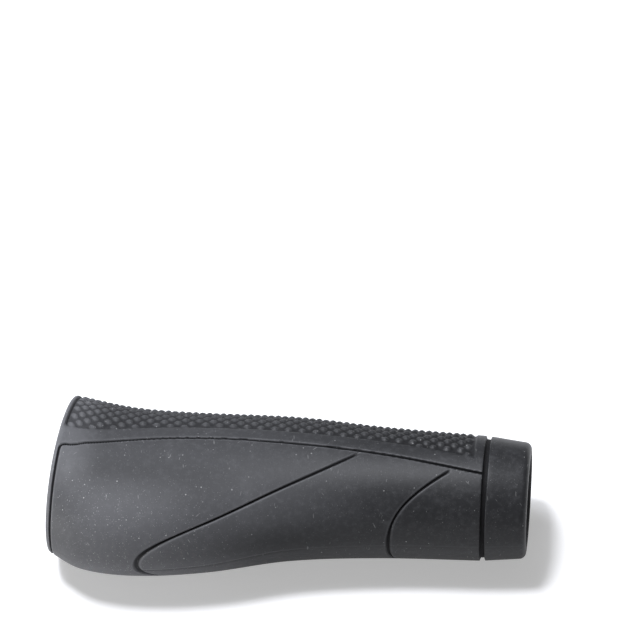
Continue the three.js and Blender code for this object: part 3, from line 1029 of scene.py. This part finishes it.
@dataclass(frozen=True)
class Rubber:
    """Matt dark rubber with dust, fine scratches and a mould line, with painted shade in its
    recesses and painted light and highlights.

    Each span gives where a mask starts and ends, in metres in the frame unless it is one of the
    spans that end in levels, which are levels of noise or of a noted value.
    """

    name: str = "moulded_rubber"
    body: Colour = (0.021, 0.0215, 0.023, 1.0)
    # Colour of the painted shade in the recesses and below the mould line's step
    deep: Colour = (0.009, 0.009, 0.0095, 1.0)
    # Paler colour for dust, smears and rubbing, and for painted light and highlights
    worn_and_lit: Colour = (0.160, 0.161, 0.169, 1.0)
    dust: Colour = (0.60, 0.60, 0.59, 1.0)
    roughness: float = 0.485
    specular: float = 0.31
    # Surface of the painted shade in the recesses
    hollow_roughness: float = 0.9
    hollow_specular: float = 0.15
    wear_and_light: WearAndLight = WearAndLight()
    rougher: Rougher = Rougher()
    # Scale in cells to the metre, detail and roughness of each noise
    cloud_noise: Noise = (38.0, 3.0, 0.5)
    smear_noise: Noise = (130.0, 4.0, 0.65)
    mottle_noise: Noise = (620.0, 3.0, 0.65)
    grain_noise: Noise = (2400.0, 2.0, 0.6)
    smear_stretch: tuple[float, float, float] = (1.0, 0.5, 1.0)
    # Strength and height in metres of each kind of relief
    grain_bump: tuple[float, float] = (0.35, 0.00006)
    line_bump: tuple[float, float] = (0.6, 0.0001)
    coarse: tuple[Specks, ...] = (Specks(480.0, 0.16, 0.22), Specks(830.0, 0.18, 0.50, 0.9))
    fine: tuple[Specks, ...] = (Specks(1600.0, 0.24, 0.75, 0.6), Specks(2700.0, 0.30, 0.80, 0.5))
    scratches: tuple[Specks, ...] = (
        Specks(900.0, 0.13, 0.60, 0.40, -9.0), Specks(1050.0, 0.13, 0.60, 0.40, 8.0),
        Specks(900.0, 0.13, 0.60, 0.40, 48.0), Specks(980.0, 0.13, 0.60, 0.40, -52.0))
    scratch_stretch: tuple[float, float, float] = (1.0, 0.15, 0.15)
    dust_cover: float = 0.85
    # Dust everywhere, and more of it in clouds and on the dusty wing
    dust_least: float = 0.40
    dust_in_clouds: float = 0.30
    dust_on_wing: float = 0.40
    fine_least: float = 0.45
    fine_on_wing: float = 0.75
    wing_end_dust: float = 0.40
    smear_levels: Span = (0.52, 0.78)
    mottle_levels: Span = (0.42, 0.80)
    cloud_levels: Span = (0.35, 0.65)
    worn_knob_levels: Span = (0.45, 1.0)
    bare_knob_levels: Span = (0.02, 0.40)
    groove_levels: Span = (0.08, 0.85)
    # Where the painted light lies: towards the closed end, and more of it on the front
    painted_light_along: Span = (-0.030, 0.034)
    front_across: Span = (-0.010, -0.001)
    wing_across: Span = (-0.021, -0.006)
    wing_start: Span = (-0.063, -0.050)
    wing_end: Span = (-0.048, 0.008)
    # Where the painted light on the upper rear lies
    patch_across: Span = (-0.013, -0.001)
    patch_up: Span = (0.020, 0.028)
    patch_start: Span = (-0.026, -0.006)
    patch_end: Span = (-0.004, 0.036)
    # Where the painted highlight on the closed end's rounded rim lies
    rim_along: Span = (-0.061, -0.050)
    # Where the painted shade low on the rear lies
    low_start: Span = (-0.025, 0.0)
    low_up: Span = (0.019, 0.028)
    low_across: Span = (-0.012, 0.002)
    # Strength of the painted shade in the grooves, on the band's ground, in the bore and low on the
    # rear
    groove_shade: float = 0.94
    band_shade: float = 0.55
    bore_shade: float = 0.95
    low_shade: float = 0.30
    # Strength of the painted shade below the mould line's step
    line_shade: float = 0.60
    line_loss: float = 0.70
    axis_height: float = 0.0173
    wing_drop: float = 0.0021
    drop_along: Span = (-0.034, 0.006)
    line_start: Span = (-0.041, -0.037)
    line_fade: Span = (-0.006, 0.014)
    line_step: Span = (-0.0001, 0.0001)
    # Breadth of the painted highlight above the mould line's step and of the painted shade below it
    pale_edge: Span = (0.0002, 0.0008)
    dark_strip: Span = (-0.0014, -0.0001)

    def specks(self, kit: Finish, place: Term, kind: Specks) -> Term:
        """Scatters small dust specks, or short scratches where the place is stretched.

        Args:
            kit: The material.
            place: Place on the object.
            kind: Sizes of the specks.

        Returns:
            Where the specks are, from 0 to their strength.
        """
        values = {"Vector": place, "Scale": kind.scale, "Randomness": 1.0}
        distance = kit.node("ShaderNodeTexVoronoi", {}, values, "Distance")
        colour = kit.node("ShaderNodeTexVoronoi", {}, values, "Color")
        pick = kit.node("ShaderNodeSeparateColor", {}, {"Color": colour}, "Red")
        amount = kit.node("ShaderNodeSeparateColor", {}, {"Color": colour}, "Green")
        chosen = pick.above(1.0 - kind.share, 1.0 + kind.PICK_EDGE - kind.share)
        radius = kind.size * (kind.LEAST_SIZE + (1.0 - kind.LEAST_SIZE) * amount * amount)
        spot = (radius - distance).above(0.0, kind.size * kind.EDGE)
        strength = kind.LEAST_STRENGTH + (1.0 - kind.LEAST_STRENGTH) * amount
        return kind.strength * (spot * chosen * strength)

    def mould_line(self, kit: Finish) -> tuple[Term, Term]:
        """Marks the soft step along the rear where the mould parts.

        Args:
            kit: The material.

        Returns:
            The painted highlight on the edge above the step and the painted shade on the strip
            below it, from 0 to 1.
        """
        place = kit.place()
        along = kit.part(place, "X")
        drop = self.wing_drop * (1.0 - along.above(*self.drop_along))
        height = kit.part(place, "Z") - self.axis_height + drop
        seen = kit.noted("rear") * along.above(*self.line_start)
        seen = seen * (1.0 - self.line_loss * along.above(*self.line_fade))
        upper = height.above(*self.line_step)
        pale = upper * (1.0 - height.above(*self.pale_edge)) * seen
        dark = (1.0 - upper) * height.above(*self.dark_strip) * seen
        return pale, dark

    def dirt(self, kit: Finish, cloud: Term, dusty_wing: Term) -> Term:
        """Lays dust specks and short scratches, densest at the rear of the closed end.

        Args:
            kit: The material.
            cloud: Cloudy noise.
            dusty_wing: How close a place is to the rear of the closed end, from 0 to 1.

        Returns:
            How much dust lies at each place.
        """
        place = kit.place()
        dusty = reduce(Term.most, [self.specks(kit, place, kind) for kind in self.coarse])
        fine = reduce(Term.most, [self.specks(kit, place, kind) for kind in self.fine])
        dusty = dusty.most(fine * (self.fine_least + self.fine_on_wing * dusty_wing))
        for kind in self.scratches:
            stretched = kit.place(scale=self.scratch_stretch, turn=(0.0, 0.0, kind.turn))
            dusty = dusty.most(self.specks(kit, stretched, kind))
        clouds = self.dust_in_clouds * cloud.above(*self.cloud_levels)
        return dusty * (self.dust_least + clouds + self.dust_on_wing * dusty_wing)

    def dusty_wing(self, along: Term, wing: Term) -> Term:
        """Marks the dusty rear of the closed end.

        Args:
            along: Place along the bar.
            wing: Where the rear of the grip is, from 0 to 1.

        Returns:
            How dusty each place is, from 0 to 1.
        """
        dusty = wing * (1.0 - along.above(*self.wing_end))
        least = self.wing_end_dust
        return dusty * (least + (1.0 - least) * along.above(*self.wing_start))

    def painted_shade(self, kit: Finish, groove: Term, knob: Term) -> Term:
        """Marks where shade is painted: the grooves, the band's ground and the bore, which little
        light reaches, and the low part of the rear.

        Args:
            kit: The material.
            groove: Strength of the painted shade noted for the grooves and the band's first edge,
                from 0 to 1.
            knob: Height on a knob, from 0 to 1.

        Returns:
            How much painted shade each place gets, from 0 to 1.
        """
        place = kit.place()
        # Painted shade on the sunk ground between the knobs
        ground = kit.noted("band") * (1.0 - knob.above(*self.bare_knob_levels))
        # Painted shade low on the rear, darker towards the bottom
        low = kit.part(place, "X").above(*self.low_start)
        low = low * (1.0 - kit.part(place, "Z").above(*self.low_up))
        low = low * (1.0 - kit.part(place, "Y").above(*self.low_across))
        return reduce(Term.most, (
            self.groove_shade * groove.above(*self.groove_levels), self.band_shade * ground,
            self.bore_shade * kit.noted("bore"), self.low_shade * low))

    def make(self) -> bpy.types.Material:
        """Builds the material.

        Returns:
            The finished rubber.
        """
        kit = Finish(self.name)
        wear_and_light, rougher = self.wear_and_light, self.rougher
        place = kit.place()
        along, across, up = (kit.part(place, axis) for axis in "XYZ")
        cloud = kit.noise(place, self.cloud_noise)
        smear = kit.noise(kit.place(scale=self.smear_stretch), self.smear_noise)
        smear = smear.above(*self.smear_levels)
        mottle = kit.noise(place, self.mottle_noise)
        grain = kit.noise(place, self.grain_noise)
        groove = kit.noted("groove")
        knob = kit.noted("knob")
        pale_line, dark_line = self.mould_line(kit)
        # Painted light, paler towards the closed end
        painted_end_light = 1.0 - along.above(*self.painted_light_along)
        wing = 1.0 - across.above(*self.wing_across)
        dusty_wing = self.dusty_wing(along, wing)
        # Painted light on the upper rear of the middle of the grip
        painted_light_patch = (1.0 - across.above(*self.patch_across)) * up.above(*self.patch_up)
        painted_light_patch = painted_light_patch * along.above(*self.patch_start) * (1.0 - along.above(*self.patch_end))
        # Painted highlight on the closed end's rounded rim, away from the rear and the end face
        rim = (1.0 - along.above(*self.rim_along)) * (1.0 - wing) * (1.0 - kit.noted("end_face"))
        # Paler colour from smears, mottle and dust on the wing, and painted light and highlights
        worn_and_lit = wear_and_light.smear * smear + wear_and_light.mottle * mottle.above(*self.mottle_levels)
        worn_and_lit = worn_and_lit + wear_and_light.wing * dusty_wing + wear_and_light.painted_light_patch * painted_light_patch + wear_and_light.rim * rim
        worn_and_lit = worn_and_lit + painted_end_light * (wear_and_light.painted_end_light + wear_and_light.painted_front_light * across.above(*self.front_across))
        # Painted highlight beside the grooves
        worn_and_lit = worn_and_lit + wear_and_light.shoulder * kit.noted("shoulder") * (1.0 - groove)
        worn_and_lit = worn_and_lit + wear_and_light.knob * knob.above(*self.worn_knob_levels)
        # Painted highlight on the mould line's step; the lip is paler
        worn_and_lit = worn_and_lit + wear_and_light.line * pale_line + wear_and_light.lip * kit.noted("lip")
        colour = kit.mix(worn_and_lit, self.body, self.worn_and_lit)
        # Painted shade below the mould line's step
        colour = kit.mix(self.line_shade * dark_line, colour, self.deep)
        dusty = self.dirt(kit, cloud, dusty_wing)
        colour = kit.mix(self.dust_cover * dusty, colour, self.dust)
        rough = self.roughness + rougher.mottle * (mottle - 0.5) + rougher.dust * dusty
        rough = rough + rougher.smear * smear + rougher.painted_end_light * painted_end_light
        bump = kit.bump(self.line_bump, pale_line, kit.bump(self.grain_bump, grain))
        skin = kit.principled({
            "Base Color": colour, "Roughness": rough, "Normal": bump,
            "Specular IOR Level": self.specular})
        # A dark surface mixed in as painted shade
        painted_shade_surface = kit.principled({
            "Base Color": self.deep, "Roughness": self.hollow_roughness,
            "Specular IOR Level": self.hollow_specular})
        shade = self.painted_shade(kit, groove, knob)
        return kit.close(kit.node("ShaderNodeMixShader", {}, {0: shade, 1: skin, 2: painted_shade_surface}))


@dataclass(frozen=True)
class PaleFloor:
    """White floor that keeps the object's shadow."""

    name: str = "pale_floor"
    colour: Colour = (0.76, 0.76, 0.76, 1.0)
    seen_white: float = 0.392
    rays: tuple[str, ...] = ("Is Camera Ray", "Is Glossy Ray", "Is Transmission Ray")

    def make(self) -> bpy.types.Material:
        """Builds the material.

        Returns:
            The floor's finish.
        """
        kit = Finish(self.name)
        matt = kit.node("ShaderNodeBsdfDiffuse", {}, {"Color": self.colour})
        seen = reduce(Term.most, [kit.node("ShaderNodeLightPath", output=ray) for ray in self.rays])
        white = kit.node("ShaderNodeEmission", {}, {
            "Color": WHITE, "Strength": self.seen_white * seen})
        return kit.close(kit.node("ShaderNodeAddShader", {}, {0: matt, 1: white}))


@dataclass(frozen=True)
class Softbox:
    """A flat lamp turned to the middle of the floor."""

    name: str
    power: float
    width: float
    height: float
    place: tuple[float, float, float]
    colour: tuple[float, float, float] = (1.0, 1.0, 1.0)


@dataclass(frozen=True)
class Studio:
    """Pale floor, soft light from above and the left, and the camera."""

    floor_size: float = 4.0
    world_strength: float = 0.085
    sun_strength: float = 2.15
    sun_width: float = 10.0
    sun_colour: tuple[float, float, float] = (0.945, 0.955, 1.0)
    sun_from: tuple[float, float, float] = (-0.26, 0.09, 1.0)
    softboxes: tuple[Softbox, ...] = (
        Softbox("softbox_back", 1.75, 0.24, 0.38, (-0.14, 0.125, 0.40), (0.90, 0.925, 1.0)),
        Softbox("softbox_left", 1.2, 0.30, 0.036, (-0.40, -0.08, 0.022)),
    )
    azimuth: float = 7.06
    elevation: float = 51.62
    roll: float = -1.82
    distance: float = 1.5
    aim_right: float = 0.00857
    aim_up: float = 0.04577
    lens: float = 306.35
    sensor_width: float = 36.0
    clip_end: float = 20.0

    def floor(self) -> bpy.types.Object:
        """Lays the floor.

        Returns:
            The floor.
        """
        plane = bmesh.new()
        bmesh.ops.create_grid(plane, x_segments=1, y_segments=1, size=self.floor_size / 2)
        mesh = bpy.data.meshes.new("floor")
        plane.to_mesh(mesh)
        plane.free()
        floor = bpy.data.objects.new("floor", mesh)
        bpy.context.scene.collection.objects.link(floor)
        mesh.materials.append(PaleFloor().make())
        return floor

    def light(self) -> None:
        """Sets up the world, a soft lamp overhead and the softboxes."""
        world = bpy.data.worlds.new("studio")
        world.use_nodes = True
        background = world.node_tree.nodes["Background"]
        background.inputs["Color"].default_value = WHITE
        background.inputs["Strength"].default_value = self.world_strength
        bpy.context.scene.world = world
        sun = bpy.data.lights.new("overhead", "SUN")
        sun.energy = self.sun_strength
        sun.angle = math.radians(self.sun_width)
        sun.color = self.sun_colour
        self._hang(sun, Vector(self.sun_from))
        for softbox in self.softboxes:
            lamp = bpy.data.lights.new(softbox.name, "AREA")
            lamp.shape = "RECTANGLE"
            lamp.size = softbox.width
            lamp.size_y = softbox.height
            lamp.energy = softbox.power
            lamp.color = softbox.colour
            self._hang(lamp, Vector(softbox.place))

    @staticmethod
    def _hang(lamp: bpy.types.Light, place: Vector) -> None:
        """Hangs a lamp at a place, turned to the middle of the floor."""
        holder = bpy.data.objects.new(lamp.name, lamp)
        turn = place.to_track_quat("Z", "Y").to_matrix().to_4x4()
        holder.matrix_world = Matrix.Translation(place) @ turn
        bpy.context.scene.collection.objects.link(holder)

    def camera(self, target: Vector) -> bpy.types.Object:
        """Places the camera at the photograph's viewing angle.

        Args:
            target: The middle of the bore axis.

        Returns:
            The camera.
        """
        azimuth = math.radians(self.azimuth)
        elevation = math.radians(self.elevation)
        back = Vector((math.sin(azimuth) * math.cos(elevation),
                       -math.cos(azimuth) * math.cos(elevation), math.sin(elevation)))
        right = Vector((math.cos(azimuth), math.sin(azimuth), 0.0))
        up = back.cross(right)
        eye = target + back * self.distance
        forward = (target + right * self.aim_right + up * self.aim_up - eye).normalized()
        side = forward.cross(Vector((0.0, 0.0, 1.0))).normalized()
        top = side.cross(forward)
        roll = math.radians(self.roll)
        level = math.cos(roll) * side + math.sin(roll) * top
        upright = -math.sin(roll) * side + math.cos(roll) * top
        data = bpy.data.cameras.new("camera")
        data.lens = self.lens
        data.sensor_width = self.sensor_width
        data.clip_end = self.clip_end
        camera = bpy.data.objects.new("camera", data)
        turn = Matrix((level, upright, -forward)).transposed()
        camera.matrix_world = Matrix.Translation(eye) @ turn.to_4x4()
        bpy.context.scene.collection.objects.link(camera)
        bpy.context.scene.camera = camera
        return camera


def main() -> None:
    """Dresses the grip and sets up the floor, the light and the camera."""
    logging.basicConfig(level=logging.INFO, format="%(message)s")
    bpy.context.scene.view_settings.view_transform = "Standard"
    grip = GripPiece()
    studio = Studio()
    studio.camera(Vector(grip.origin()) + Vector((grip.sizes.length / 2 * MM, 0.0, 0.0)))
    studio.light()
    studio.floor()
    LOG.info("floor, light and camera set")
    skin = grip.build()
    skin.data.materials.append(Rubber().make())
    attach(skin, "root")
    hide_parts("grip")
    LOG.info("grip skin set")


if __name__ == "__main__":
    main()
